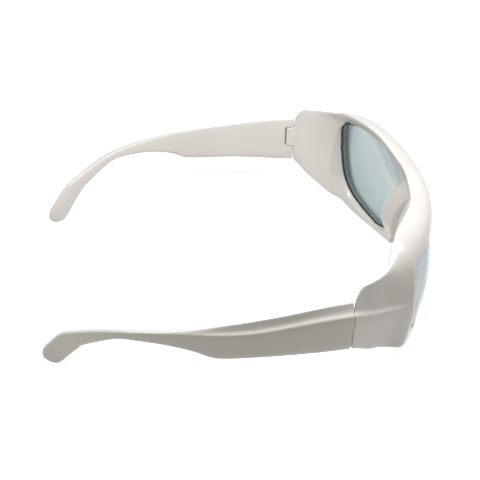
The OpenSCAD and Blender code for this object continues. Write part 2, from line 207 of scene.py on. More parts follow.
# %% [markdown]
# ## Ground edge of the lens, and painted shade at its border
# The rim of a lens is ground to shape, which leaves it frosted. It is dark, because one looks
# along the dye there and not through it, and its dark colour also paints in the shade of the
# groove around it. The same dark colour later marks a border on the rear face, as painted shade
# that stands for the dark edge that one sees from inside through the lens.

# %% Ground edge and painted rim shade
def ground_edge_and_rim_shade():
    material, tree = new_material("ground_polycarbonate_edge_and_painted_shade")
    coords = add_node(tree, "ShaderNodeTexCoord")
    frost = add_node(tree, "ShaderNodeTexNoise", {}, {"Scale": 1 / (0.4 * MM), "Detail": 2.0},
                     {"Vector": coords.outputs["Object"]})
    tone = add_node(tree, "ShaderNodeValToRGB", {}, {}, {"Fac": frost.outputs["Fac"]})
    # dark tones: the ground rim, with painted shade of the groove and of the rear border
    set_ramp(tone, [(0.3, srgb("#26322F")), (0.7, srgb("#33403D"))])
    bump = add_node(tree, "ShaderNodeBump", {}, {"Strength": 0.3, "Distance": 0.05 * MM},
                    {"Height": frost.outputs["Fac"]})
    shader = add_node(tree, "ShaderNodeBsdfPrincipled", {}, {"IOR": 1.585, "Roughness": 0.55},
                      {"Base Color": tone.outputs["Color"], "Normal": bump.outputs["Normal"]})
    add_node(tree, "ShaderNodeOutputMaterial", {}, {}, {"Surface": shader.outputs["BSDF"]})
    return material


edge_and_shade_material = ground_edge_and_rim_shade()
print("made", edge_and_shade_material.name)

# %% [markdown]
# ## Steel hinge pins
# The pins are drawn steel wire, cut and pressed in. Drawing leaves fine lines along the wire,
# so a noise is stretched along Z, and the metal reflects softly. They stay the measured solids,
# since their shape is already exact, and only get this finish.

# %% Drawn steel
def drawn_steel():
    material, tree = new_material("drawn_steel_wire")
    coords = add_node(tree, "ShaderNodeTexCoord")
    along = add_node(tree, "ShaderNodeMapping", {}, {"Scale": (1.0, 1.0, 0.05)},
                     {"Vector": coords.outputs["Object"]})
    lines = add_node(tree, "ShaderNodeTexNoise", {}, {"Scale": 1 / (0.15 * MM), "Detail": 3.0},
                     {"Vector": along.outputs["Vector"]})
    tone = add_node(tree, "ShaderNodeValToRGB", {}, {}, {"Fac": lines.outputs["Fac"]})
    set_ramp(tone, [(0.3, srgb("#A9ABAE")), (0.7, srgb("#C4C6C9"))])
    rough = add_node(tree, "ShaderNodeMapRange", {}, {"To Min": 0.22, "To Max": 0.38},
                     {"Value": lines.outputs["Fac"]})
    bump = add_node(tree, "ShaderNodeBump", {}, {"Strength": 0.2, "Distance": 0.01 * MM},
                    {"Height": lines.outputs["Fac"]})
    shader = add_node(tree, "ShaderNodeBsdfPrincipled", {}, {"Metallic": 1.0},
                      {"Base Color": tone.outputs["Color"], "Roughness": rough.outputs["Result"],
                       "Normal": bump.outputs["Normal"]})
    add_node(tree, "ShaderNodeOutputMaterial", {}, {}, {"Surface": shader.outputs["BSDF"]})
    return material


pin_material = drawn_steel()
for pin in ("hinge_pin_left", "hinge_pin_right"):
    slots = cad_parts[pin].data.materials
    slots.clear()
    slots.append(pin_material)
print("pins finished in", pin_material.name)

# %% [markdown]
# ## Sizes
# These are the sizes of the measured solids, in millimetres, with the hinge joint at y = 0 and
# the hinge's top edge at z = 0. Three of them allow for the smoothing that comes last, which
# shrinks thin ends and opens gaps: the neck and the tip of a temple are drawn a little fuller
# than they measure, and the gap in the joint narrower. EDGE is the bevel of the moulded edges,
# and PAST is how far a cutting tool goes past a face.

# %% Sizes
FRONT_W, FRONT_REACH, FRONT_R, CORNER_X = 148.0, 44.6, 108.0, 60.0
RIM_DROP, RIM_DEPTH, SHIELD_WALL = 38.0, 5.6, 2.9
BROW_RISE, BROW_DEPTH = 14.6, 12.6
ARCH_TOP, ARCH_HALF_W, LOBE_REACH = 3.6, 17.0, 9.2
LENS_R, LENS_T, LENS_TILT = 66.0, 2.2, 21.0
LENS_X, LENS_Z, LENS_SEAT, LENS_GAP = 38.0, -15.0, 1.0, 0.1
TEMPLE_L, TEMPLE_H, HINGE_T, BLADE_T = 116.0, 22.0, 4.4, 3.1
NECK_H, TIP_H, JOINT_GAP = 5.3, 9.0, 0.15
PIN_D, PIN_BACK, PIN_IN = 1.2, 2.4, 1.3
TONGUE_H, TONGUE_DROP, TONGUE_EASE, SLOT_GAP = 9.4, 4.7, 0.4, 0.2
EDGE, PAST = 0.9, 1
BALL_Z = -12.2
BALL_Y = FRONT_R - FRONT_REACH
INNER_X = FRONT_W / 2 - HINGE_T
PIN_X = INNER_X + PIN_IN
print("the front is", FRONT_W, "mm wide, a temple", TEMPLE_L, "mm long")

# %% [markdown]
# ## Smooth curves through a few measured values
# A moulded shape is described by a handful of measured values along its length: how high the
# brow is, how thick the wall is. A smooth curve runs through each table of values, and a loft
# of rings then follows all of them together. The nose arch is such a table too, its half width
# by the distance below its top. It comes first, because the front reaches furthest beside the
# arch, and the whole part is centred between that place and the ends of the temples.

# %% Curves
def ball_back(x, z):
    return BALL_Y - math.sqrt(FRONT_R ** 2 - x * x) + (z - BALL_Z) ** 2 / (2 * FRONT_R)


def curve(table, v):
    i = 0
    while i < len(table) - 2 and v >= table[i + 1][0]:
        i += 1

    def grade(k):
        a, b = max(k - 1, 0), min(k + 1, len(table) - 1)
        return (table[b][1] - table[a][1]) / (table[b][0] - table[a][0])

    h = table[i + 1][0] - table[i][0]
    u = (v - table[i][0]) / h
    return ((2 * u ** 3 - 3 * u * u + 1) * table[i][1] + (u ** 3 - 2 * u * u + u) * h * grade(i)
            + (3 * u * u - 2 * u ** 3) * table[i + 1][1] + (u ** 3 - u * u) * h * grade(i + 1))


def mix(a, b, u):
    return a + (b - a) * u


def bend(a, b, c, d, u):
    w = 1 - u
    return tuple(w ** 3 * p + 3 * w * w * u * q + 3 * w * u * u * r + u ** 3 * s
                 for p, q, r, s in zip(a, b, c, d))


ARCH_LOW = RIM_DROP + 2 - ARCH_TOP
ARCH = [(0, 0), (0.3, 1.4), (1, 2.4), (4.5, 4.2), (10.5, 6.6), (17.5, 9.2), (24.5, 12), (32, 15),
        (ARCH_LOW, ARCH_HALF_W)]
SHIFT_Y = -(ball_back(curve(ARCH, -BALL_Z - ARCH_TOP), BALL_Z) + TEMPLE_L) / 2


def placed(x, y, z):
    return Vector((x, y + SHIFT_Y, z + RIM_DROP)) * MM


print("the joints lie", round(SHIFT_Y, 3), "mm from the middle of the part")

# %% [markdown]
# ## Lofting with extruded rings
# One ring of vertices is laid down, and its edges are extruded once for every next station,
# the new vertices moving to that station's ring. Both ends are then closed with a face. This is
# how a modeller would draw a hull by hand, and it keeps the mesh in clean rows for smoothing.

# %% Loft
def loft(bm, rings):
    ring = [bm.verts.new(p) for p in rings[0]]
    count = len(ring)
    edges = [bm.edges.new((ring[i], ring[(i + 1) % count])) for i in range(count)]
    first = list(edges)
    for points in rings[1:]:
        made = bmesh.ops.extrude_edge_only(bm, edges=edges)["geom"]
        fresh = {v for v in made if isinstance(v, bmesh.types.BMVert)}
        nexts = []
        for old, point in zip(ring, points):
            new = next(e.other_vert(old) for e in old.link_edges if e.other_vert(old) in fresh)
            new.co = point
            nexts.append(new)
        ring = nexts
        edges = [bm.edges.get((ring[i], ring[(i + 1) % count])) for i in range(count)]
    bmesh.ops.contextual_create(bm, geom=first)
    bmesh.ops.contextual_create(bm, geom=edges)


def make_object(name, bm):
    bmesh.ops.recalc_face_normals(bm, faces=bm.faces)
    mesh = bpy.data.meshes.new(name)
    bm.to_mesh(mesh)
    bm.free()
    thing = bpy.data.objects.new(name, mesh)
    bpy.context.scene.collection.objects.link(thing)
    return thing


def lofted(name, *lofts):
    bm = bmesh.new()
    for rings in lofts:
        loft(bm, rings)
    return make_object(name, bm)


print("loft and lofted are ready")

# %% [markdown]
# ## Cutting and rounding
# A lofted blank is rounded by subdivision, and windows, slots and holes are then cut from it.
# Last, all parts of one moulding are melted into one skin by a fine voxel mesh, and a few
# smoothing passes round its edges, which is what a moulded part has instead of knife edges.

# %% Helpers that cut, join and round
def apply_modifiers(thing):
    ready = thing.evaluated_get(bpy.context.evaluated_depsgraph_get())
    mesh = bpy.data.meshes.new_from_object(ready)
    thing.modifiers.clear()
    old = thing.data
    thing.data = mesh
    bpy.data.meshes.remove(old)


def subdivided(thing, levels):
    fine = thing.modifiers.new("fine", "SUBSURF")
    fine.levels = fine.render_levels = levels
    apply_modifiers(thing)
    return thing


def carve(thing, tools):
    for tool in tools:
        cut = thing.modifiers.new("cut", "BOOLEAN")
        cut.operation = "DIFFERENCE"
        cut.solver = "MANIFOLD"
        cut.object = tool
    apply_modifiers(thing)
    for tool in tools:
        bpy.data.meshes.remove(tool.data)


def merged(name, things):
    bm = bmesh.new()
    for thing in things:
        bm.from_mesh(thing.data)
        bpy.data.meshes.remove(thing.data)
    mesh = bpy.data.meshes.new(name)
    bm.to_mesh(mesh)
    bm.free()
    whole = bpy.data.objects.new(name, mesh)
    bpy.context.scene.collection.objects.link(whole)
    return whole


def moulded(thing, voxel, passes):
    """Melts all parts of a piece into one skin and rounds its edges, as a polished mould does."""
    skin = thing.modifiers.new("skin", "REMESH")
    skin.mode = "VOXEL"
    skin.voxel_size = voxel * MM
    apply_modifiers(thing)
    bm = bmesh.new()
    bm.from_mesh(thing.data)
    for _ in range(passes):
        bmesh.ops.smooth_vert(bm, verts=bm.verts, factor=0.5, use_axis_x=True, use_axis_y=True,
                              use_axis_z=True)
    for face in bm.faces:
        face.smooth = True
    bm.to_mesh(thing.data)
    bm.free()


def finished(thing, material):
    """Gives a whole piece one finish, and sets what dips below the table back onto it."""
    thing.data.materials.clear()
    thing.data.materials.append(material)
    for face in thing.data.polygons:
        face.material_index = 0
    for vertex in thing.data.vertices:
        vertex.co.z = max(vertex.co.z, 0.0)


print("carve, merged and moulded are ready")

# %% [markdown]
# ## The course of the front
# The front of such glasses is one moulding: brow shelf, rims, bridge and both side shields. Its
# cross-section changes all the way round, thin and tall at the hinge, hooked over the eyes, so
# it is lofted along its outer edge. Seen from above, that edge is a straight side shield and a
# wide arc. A place on it is a share v, 0 at the hinge and 1 at the nose. Each table gives one
# measure of the section at such shares. Z is a height above the hinge's top edge, IN a depth
# inwards, SHELF_H the rise of the shelf, LEAN how far the foot of the outer face leans inwards,
# and HEADING the direction of the section in degrees, seen from above.

# %% Course of the front
CORNER_Y = BALL_Y - math.sqrt(FRONT_R ** 2 - CORNER_X ** 2)
CORNER_A = math.degrees(math.asin(CORNER_X / FRONT_R))
SIDE_L = math.hypot(FRONT_W / 2 - CORNER_X, CORNER_Y)
CORNER_V = SIDE_L / (SIDE_L + math.radians(CORNER_A) * FRONT_R)
JOINT_V = 0.08
TURNED_V = 0.42
HEADING = [(0, 0), (0.1, 17), (0.2, 32), (CORNER_V, 43), (TURNED_V, 60.5)]
BROW_IN = [(0, HINGE_T - 1), (0.03, 3.8), (0.06, 3.3), (0.12, 2.8), (0.2, 5.1), (0.26, 9.9),
           (CORNER_V, BROW_DEPTH), (0.5, BROW_DEPTH), (0.7, BROW_DEPTH - 1.7),
           (1, BROW_DEPTH - 2)]
BROW_Z = [(0, 0), (0.015, 2.9), (0.035, 5.1), (0.06, 5.9), (0.1, 6.3), (0.14, 6.7),
          (0.2, BROW_RISE - 6.6), (CORNER_V, BROW_RISE - 1.8), (0.55, BROW_RISE),
          (0.82, BROW_RISE - 2.5), (1, BROW_RISE - 1.7)]
RIDGE_Z = [(0, -4.4), (0.05, -6.1), (0.12, -8), (0.17, -9), (0.23, -9.7), (CORNER_V, -10.7),
           (0.4, -3.4), (0.46, 2.5), (0.6, 5.4), (1, 5.6)]
BOTTOM_Z = [(0, -TEMPLE_H), (0.06, -TEMPLE_H - 3.2), (0.13, 9.1 - RIM_DROP), (0.2, 7 - RIM_DROP),
            (CORNER_V, 2.8 - RIM_DROP), (0.45, 0.1 - RIM_DROP), (0.56, -0.3 - RIM_DROP),
            (0.7, 0.6 - RIM_DROP), (0.85, 3.5 - RIM_DROP), (1, 4.5 - RIM_DROP)]
WALL_IN = [(0, HINGE_T), (JOINT_V, SHIELD_WALL + 0.4), (0.16, SHIELD_WALL + 0.1),
           (0.24, RIM_DEPTH - 0.4), (CORNER_V, RIM_DEPTH + 0.2), (0.5, RIM_DEPTH),
           (0.7, RIM_DEPTH), (0.82, RIM_DEPTH + 0.7), (1, RIM_DEPTH + 0.7)]
UNDER_Z = [(0, -3), (0.1, 2.6), (0.2, 5.4), (CORNER_V, 7.2), (0.5, 8), (1, 8)]
LEAN = [(0, 1.8), (0.1, 2.9), (0.22, 3.2), (CORNER_V, 0.9), (TURNED_V, 0), (1, 0)]
SHELF_IN = [(0, 2.5), (0.06, 2.4), (0.12, 2.1), (0.18, 2), (0.24, 1.1), (0.29, 0.4), (0.34, 0),
            (0.5, 0), (1, 0)]
SHELF_H = [(0, 1.7), (0.05, 2.3), (0.12, 2.8), (0.17, 2.5), (0.23, 1.7), (0.5, 1.7), (1, 1.7)]


def arc_angle(v):
    return math.radians(CORNER_A * (1 - v) / (1 - CORNER_V))


def plan(v):
    if v > CORNER_V:
        return FRONT_R * math.sin(arc_angle(v)), BALL_Y - FRONT_R * math.cos(arc_angle(v))
    return mix(FRONT_W / 2, CORNER_X, v / CORNER_V), mix(0, CORNER_Y, v / CORNER_V)


print("the side shield is", round(SIDE_L, 1), "mm long")

# %% [markdown]
# ## The section of the front
# A section starts at the lower edge, runs up the outer face to the ridge, turns in over a
# hollow shelf, climbs steeply to the crest of the brow, and comes down the inside. The shelf is
# widest near the hinge and dies out past the corner. Three bends join the ridge, the foot of the
# brow, its crest and the inner face. The names with IN and UP place the corners of these bends,
# as shares of the way across and up. STEEP_FALL is a slope, and CREST_BACK and CREST_FALL are
# millimetres.

# %% Section of the front
HOLLOW_IN, HOLLOW_UP = 0.9, 0.12
STEEP_IN, STEEP_UP, STEEP_FALL = 0.06, 0.6, 0.576
NEAR_CREST_IN, NEAR_CREST_UP = 0.4, 0.8
CREST_BACK, CREST_FALL = 0.4, 0.6
POCKET_IN, POCKET_UP = 0.5, 0.3
FACE_ROWS, SHELF_ROWS, BROW_ROWS, POCKET_ROWS, WALL_ROWS = 7, 3, 6, 5, 5


def outer_in(v, z):
    top, low = curve(RIDGE_Z, v), curve(BOTTOM_Z, v)
    return (min(v / CORNER_V, 1) * (z - BALL_Z) ** 2 / (2 * FRONT_R)
            + curve(LEAN, v) * max((top - z) / (top - low), 0))


def inner_in(v, z):
    return mix(HINGE_T, outer_in(v, z) + curve(WALL_IN, v), min(v / JOINT_V, 1))


def section(v):
    top, low, under = curve(RIDGE_Z, v), curve(BOTTOM_Z, v), curve(UNDER_Z, v)
    ridge, crest = (outer_in(v, top), top), (curve(BROW_IN, v), curve(BROW_Z, v))
    foot = (ridge[0] + curve(SHELF_IN, v), ridge[1] + curve(SHELF_H, v))
    hollow = (mix(ridge[0], foot[0], HOLLOW_IN), mix(ridge[1], foot[1], HOLLOW_UP))
    steep = (mix(foot[0], crest[0], STEEP_IN),
             max(crest[1] - STEEP_FALL * (crest[0] - foot[0]), mix(foot[1], crest[1], STEEP_UP)))
    near_crest = (mix(foot[0], crest[0], NEAR_CREST_IN), mix(steep[1], crest[1], NEAR_CREST_UP))
    back, wall = (crest[0] + CREST_BACK, crest[1] - CREST_FALL), (inner_in(v, under), under)
    pocket = (mix(back[0], wall[0], POCKET_IN), wall[1] + POCKET_UP * (back[1] - wall[1]))
    points = [(outer_in(v, low) + EDGE, low)]
    for i in range(FACE_ROWS + 1):
        z = mix(low + EDGE, top, i / FACE_ROWS)
        points.append((outer_in(v, z), z))
    points += [bend(ridge, hollow, hollow, foot, i / SHELF_ROWS)
               for i in range(1, SHELF_ROWS + 1)]
    points += [bend(foot, steep, near_crest, crest, i / BROW_ROWS)
               for i in range(1, BROW_ROWS + 1)] + [back]
    points += [bend(back, pocket, pocket, wall, i / POCKET_ROWS)
               for i in range(1, POCKET_ROWS + 1)]
    for i in range(1, WALL_ROWS + 1):
        z = mix(under, low + EDGE, i / WALL_ROWS)
        points.append((inner_in(v, z), z))
    return points + [(inner_in(v, low) - EDGE, low)]


def front_ring(v, side):
    x, y = plan(v)
    turn = math.radians(curve(HEADING, v)) if v < TURNED_V else math.pi / 2 - arc_angle(v)
    return [placed(side * (x - q * math.cos(turn)), y + q * math.sin(turn), z)
            for q, z in section(v)]


print("a section has", len(section(0.5)), "points")

# %% [markdown]
# ## The window outline
# The window of each rim is a rounded, slanted shape that is easiest to draw as a ring of points
# with a smooth curve through them. The outline for the front opening is the same one drawn
# smaller, and a little smaller again at the temple side, where the rim covers the lens more.

# %% Window outline
INNER_WINDOW = [(25.6, -6.5), (25.4, -14.5), (22.8, 14.6 - RIM_DROP), (17.2, 8.3 - RIM_DROP),
                (9.9, 4.9 - RIM_DROP), (2, 3.2 - RIM_DROP), (-6, 3.1 - RIM_DROP),
                (-13, 6.2 - RIM_DROP), (-18, 14.5 - RIM_DROP), (-21.3, -12.6), (-22, -1.6),
                (-18, BROW_RISE - 9.6), (-6, BROW_RISE - 7.8), (8, BROW_RISE - 7.7),
                (17.8, BROW_RISE - 8.5), (23.9, BROW_RISE - 12.4)]
FRONT_COVER, TEMPLE_SIDE_X = 0.7, 20
SPAN_POINTS = 4


def around(points, n):
    out, m = [], len(points)
    for i in range(m):
        a, b, c, d = (points[(i + k) % m] for k in (-1, 0, 1, 2))
        for k in range(n):
            u = k / n
            out.append(tuple(0.5 * (2 * q + (r - p) * u + (2 * p - 5 * q + 4 * r - s) * u * u
                                    + (3 * q - p - 3 * r + s) * u ** 3)
                             for p, q, r, s in zip(a, b, c, d)))
    return out


def grown(points, by):
    out, m = [], len(points)
    for i in range(m):
        tx = points[(i + 1) % m][0] - points[i - 1][0]
        tz = points[(i + 1) % m][1] - points[i - 1][1]
        size = math.hypot(tx, tz)
        out.append((points[i][0] - by * tz / size, points[i][1] + by * tx / size))
    return out


OUTER_WINDOW = [(x - FRONT_COVER if x > TEMPLE_SIDE_X else x, z)
                for x, z in grown(INNER_WINDOW, -FRONT_COVER)]
print("the window outline has", len(around(INNER_WINDOW, SPAN_POINTS)), "points")

# %% [markdown]
# ## Tools that cut the lens openings
# A lens is a slice of a ball. Its opening is the same slice a little larger, plus a way out to
# the front and to the back. So one function makes such a slice from an outline and two depths,
# from small rings at the middle outwards and round the edge, and serves for the lens as well.
# The way out to the back flares, so that the rim falls off softly around the lens.

# %% Slices of a ball on an outline
LENS_Y = ball_back(LENS_X, BALL_Z)
MIDDLE = (2.0, -14.0)
FACE_SHARES = (0.02, 0.14, 0.28, 0.42, 0.56, 0.7, 0.82, 0.92)
WAY_FRONT, WAY_BACK = -9, 8
FLARE, FLARE_START = 3.6, LENS_T + 0.6


def on_ball(x, z, depth, side):
    back = LENS_R - math.sqrt((LENS_R - depth) ** 2 - x * x - (z - LENS_Z) ** 2)
    c, s = math.cos(math.radians(LENS_TILT)), math.sin(math.radians(LENS_TILT))
    return placed(side * (LENS_X + x * c - back * s), LENS_Y + x * s + back * c, z)


def slice_rings(outline, front, back, side, bevel=0.0, border=0.0, flare=0.0):
    inset = grown(outline, -bevel) if bevel else outline
    core, steps = inset, FACE_SHARES
    if border:
        core, steps = grown(outline, -border), FACE_SHARES + (1.0,)

    def ring(points, share, depth):
        return [on_ball(mix(MIDDLE[0], x, share), mix(MIDDLE[1], z, share), depth, side)
                for x, z in points]

    def face(depth, by=0.0):
        edge = grown(inset, by) if by else inset
        return [ring(core, s, depth) for s in steps] + [ring(edge, 1.0, depth)]

    rim = []
    if bevel:
        rim = [ring(outline, 1.0, front + bevel), ring(outline, 1.0, back - bevel)]
    if flare:
        rim = [ring(outline, 1.0, FLARE_START)]
    return face(front) + rim + face(back, flare)[::-1]


def opening_tools(side):
    inner, outer = around(INNER_WINDOW, SPAN_POINTS), around(OUTER_WINDOW, SPAN_POINTS)
    rim = grown(inner, LENS_SEAT + LENS_GAP)
    behind = slice_rings(inner, LENS_T / 2, WAY_BACK, side, flare=FLARE)
    return [lofted("behind", behind),
            lofted("ahead", slice_rings(outer, WAY_FRONT, LENS_T / 2, side)),
            lofted("groove", slice_rings(rim, -LENS_GAP, LENS_T + LENS_GAP, side))]


print("a lens face is drawn with", len(FACE_SHARES) + 1, "rings")

# %% [markdown]
# ## Nose lobes and arch
# Two soft lobes stand back from the rims beside the nose arch and carry the weight on the nose.
# Each is lofted upwards from the rim into the underside of the bridge, a little too far towards
# the nose, and the same arch is then cut out of the lobes and the shell, which leaves them flush.
# A row of the lobe's table is one height: how far below the arch's top it lies, how far back
# the ridge and the top reach as shares of the whole reach, and how wide the lobe is there. The
# pairs below it are offsets in millimetres, which round the outline between these points.

# %% Rings of a nose lobe and of the arch
LOBE = [(29.7, 0.14, 0.18, 4.75), (27.6, 0.31, 0.42, 4.85), (25.5, 0.37, 0.57, 4.9),
        (20.9, 0.48, 0.8, 4.85), (15.8, 0.55, 0.97, 5), (9.8, 0.51, 1, 5.65),
        (3.9, 0.32, 0.88, 6.3), (-1.1, 0.15, 0.65, 6.2), (-6, 0.02, 0.37, 4.6)]
LOBE_ROOT, LOBE_OVER, LOBE_SINK = 2.6, 0.6, 0.6
AFTER_RIDGE, HALFWAY, BEFORE_TOP = (0.25, 0.35), (0.1, -0.25), (-0.7, -0.1)
AFTER_TOP, TOP_BACK = (0.25, -0.2), (0.9, -1.2)
ARCH_STEPS = [0.1, 0.3, 1, 2.5] + [4.3 + 1.5 * i for i in range(19)] + [ARCH_LOW]
ARCH_CUT_Y = (-62, -20)


def lobe_ring(row, side):
    g, ridge_share, reach, width = row
    z, wa = -ARCH_TOP - g, curve(ARCH, max(g, 1))
    back_y = RIM_DEPTH - FRONT_REACH
    ridge = (wa - LOBE_OVER, back_y + LOBE_REACH * ridge_share)
    top = (wa + width, back_y + LOBE_REACH * reach)
    rim_x = top[0] + LOBE_ROOT
    rim_y = ball_back(rim_x, z) + RIM_DEPTH
    back, root = (top[0] + TOP_BACK[0], top[1] + TOP_BACK[1]), (rim_x, rim_y - LOBE_SINK)
    points = [(ridge[0], ball_back(wa, z) + RIM_DEPTH / 2), ridge,
              (ridge[0] + LOBE_OVER + AFTER_RIDGE[0], ridge[1] + AFTER_RIDGE[1]),
              (mix(ridge[0], top[0], 0.5) + HALFWAY[0], mix(ridge[1], top[1], 0.5) + HALFWAY[1]),
              (top[0] + BEFORE_TOP[0], top[1] + BEFORE_TOP[1]),
              (top[0] + AFTER_TOP[0], top[1] + AFTER_TOP[1]), back,
              (mix(back[0], root[0], 0.5), mix(back[1], root[1], 0.5)), root,
              (rim_x, rim_y - RIM_DEPTH / 2)]
    return [placed(side * x, y, z) for x, y in points]


def arch_rings():
    half = [(curve(ARCH, g), -ARCH_TOP - g) for g in ARCH_STEPS]
    outline = half + [(-x, z) for x, z in reversed(half)]
    return [[placed(x, y, z) for x, z in outline] for y in ARCH_CUT_Y]


print("a lobe has", len(LOBE), "rings of", len(lobe_ring(LOBE[0], 1)), "points")

# %% [markdown]
# ## Hinge tongue
# A flat tongue on each side of the front reaches into a slot of the temple, and the steel pin
# goes through both. Its rear outer corner is round about the pin, so that the temple can turn
# past it, and the inner one is only eased. The pin's hole is cut with a plain cylinder.

# %% Hinge tongue and pin hole
TONGUE_ROOT = 0.6


def tongue_rings(side):
    right, end = INNER_X + 2 * PIN_IN, PIN_BACK + PIN_IN
    outline = [(INNER_X, -TONGUE_ROOT), (right, -TONGUE_ROOT)]
    for angle in (math.radians(a) for a in range(0, 91, 10)):
        outline.append((PIN_X + PIN_IN * math.cos(angle), PIN_BACK + PIN_IN * math.sin(angle)))
    for angle in (math.radians(a) for a in range(0, 91, 30)):
        outline.append((INNER_X + TONGUE_EASE - TONGUE_EASE * math.sin(angle),
                        end - TONGUE_EASE + TONGUE_EASE * math.cos(angle)))
    return [[placed(side * x, y, z) for x, y in outline]
            for z in (-TONGUE_DROP - TONGUE_H, -TONGUE_DROP)]


def pin_tool(radius, low, high, side):
    bm = bmesh.new()
    middle = placed(side * PIN_X, PIN_BACK, (low + high) / 2)
    bmesh.ops.create_cone(bm, cap_ends=True, segments=32, radius1=radius * MM,
                          radius2=radius * MM, depth=(high - low) * MM,
                          matrix=Matrix.Translation(middle))
    return make_object("pin_tool", bm)


print("the tongue is", TONGUE_H, "mm high, its pin", PIN_D, "mm thick")

# %% [markdown]
# ## Making the front
# The shell is lofted from one hinge round to the other and subdivided. Then come the cuts, and
# the lobes and tongues are laid into the same mesh. Last, a fine voxel skin melts everything
# into one surface, and a few smoothing passes round its edges by about half a millimetre. The
# stations stand close together at the hinge, where the brow rises fast.

# %% Front
STATIONS = [0, 0.003, 0.012, 0.02, 0.03, 0.04, 0.05, 0.062, 0.075, 0.1, 0.13, 0.16, 0.19, 0.22,
            0.25, 0.275, 0.3, CORNER_V, 0.34, 0.36, 0.385, 0.41, 0.44, 0.48, 0.52, 0.57, 0.62,
            0.67, 0.72, 0.77, 0.82, 0.87, 0.92, 0.96]
FRONT_SKIN, BORE_PLAY = 0.48, 0.05


def make_front():
    shell = lofted("shell", [front_ring(v, -1) for v in STATIONS] + [front_ring(1, -1)]
                   + [front_ring(v, 1) for v in reversed(STATIONS)])
    subdivided(shell, levels=1)
    carve(shell, opening_tools(1) + opening_tools(-1))
    lobes = subdivided(lofted("lobes", [lobe_ring(row, 1) for row in LOBE],
                              [lobe_ring(row, -1) for row in LOBE]), levels=2)
    tongues = lofted("tongues", tongue_rings(1), tongue_rings(-1))
    bore_low, bore_high = -TONGUE_DROP - TONGUE_H - PAST, -TONGUE_DROP + PAST
    for side in (1, -1):
        carve(tongues, [pin_tool(PIN_D / 2 + BORE_PLAY, bore_low, bore_high, side)])
    for part in (shell, lobes):
        carve(part, [lofted("arch", arch_rings())])
    front = merged("front_moulding", [shell, lobes, tongues])
    moulded(front, FRONT_SKIN, passes=2)
    finished(front, white_front)
    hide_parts("frame_front")
    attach(front, "front")
    return front


front = make_front()
print("the front has", len(front.data.polygons), "faces")

# %% [markdown]
# ## Lenses
# A lens is the same slice of a ball as its groove, without the play, and with a narrow bevel on
# its rim as the grinder leaves. Its rows lie exactly on the two faces, so it needs no smoothing
# and reflects cleanly. The faces of its rim are found by their direction, across the ball's
# radius, and get the dark ground finish. A narrow border on the rear face gets the same dark
# colour as painted shade, for the dark edge that one sees from inside through the lens.

# %% Lenses
# LENS_BORDER and BORDER_REACH size the border of painted shade on the rear face
LENS_BEVEL, LENS_BORDER, BORDER_REACH = 0.15, 1.5, 1.8
RIM_COSINE, LENS_SPAN_POINTS = 0.9, 6


def make_lens(name, node, side):
    outline = grown(around(INNER_WINDOW, LENS_SPAN_POINTS), LENS_SEAT)
    lens = lofted(name, slice_rings(outline, 0.0, LENS_T, side, bevel=LENS_BEVEL,
                                    border=LENS_BORDER))
    rim = [on_ball(x, z, LENS_T / 2, side) for x, z in outline]
    turn = math.radians(LENS_TILT)
    middle = placed(side * (LENS_X - LENS_R * math.sin(turn)), LENS_Y + LENS_R * math.cos(turn),
                    LENS_Z)
    lens.data.materials.append(lens_material)
    lens.data.materials.append(edge_and_shade_material)
    ground = 0
    for face in lens.data.polygons:
        face.use_smooth = True
        out = face.center - middle
        across = abs(face.normal.dot(out.normalized())) < RIM_COSINE
        rear = out.length < (LENS_R - LENS_T / 2) * MM
        # rim faces are ground; rear faces near the rim take the same dark colour as painted shade
        if across or rear and min((face.center - p).length for p in rim) < BORDER_REACH * MM:
            face.material_index = 1
            face.use_smooth = not across
            ground += 1
    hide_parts(node)
    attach(lens, "front")
    print(name, "has", len(lens.data.polygons), "faces,", ground, "of them ground or border")


make_lens("left_filter_lens", "lens_left", 1)
make_lens("right_filter_lens", "lens_right", -1)

# %% [markdown]
# ## The course of a temple
# A temple is a tall blade at the hinge that narrows to a neck in front of the ear and bends down
# and inwards behind it. Each row gives the y and z of a point on its upper edge and of the point
# opposite on its lower edge. The other tables give, by the number of the row, the measures of
# the section, and the bow inwards by y.

# %% Course of a temple
EAR = TEMPLE_L - 1.2
BLADE = [(JOINT_GAP, 0, JOINT_GAP, -TEMPLE_H), (12, -0.9, 13, 0.2 - TEMPLE_H),
         (25, -2.5, 26, 0.7 - TEMPLE_H), (38, -4.3, 39, 0.8 - TEMPLE_H),
         (50.3, -5.8, 51, 1.2 - TEMPLE_H), (57.4, -6.8, 58.9, -6.8 - mix(NECK_H, TEMPLE_H, 0.32)),
         (68.5, -8.4, 69.8, -8.4 - mix(NECK_H, TEMPLE_H, 0.1)),
         (EAR - 35, -10, EAR - 34.3, -10 - NECK_H),
         (EAR - 24, -13.2, EAR - 24 - 0.76 * NECK_H, -13.2 - 0.65 * NECK_H),
         (EAR - 10.7, 18.2 - RIM_DROP, EAR - 10.7 - 0.67 * TIP_H, 18.2 - 0.49 * TIP_H - RIM_DROP),
         (EAR - 7.5, 15.7 - RIM_DROP, EAR - 7.5 - 0.73 * TIP_H, 15.7 - 0.57 * TIP_H - RIM_DROP),
         (EAR - 4.1, 11.6 - RIM_DROP, EAR - 4.1 - 0.75 * TIP_H, 11.6 - 0.59 * TIP_H - RIM_DROP),
         (EAR - 0.7, 7.2 - RIM_DROP, EAR - 0.7 - 0.86 * TIP_H, 7.2 - 0.52 * TIP_H - RIM_DROP)]
TOP_Y, TOP_Z, LOW_Y, LOW_Z = [[(i, row[k]) for i, row in enumerate(BLADE)] for k in range(4)]
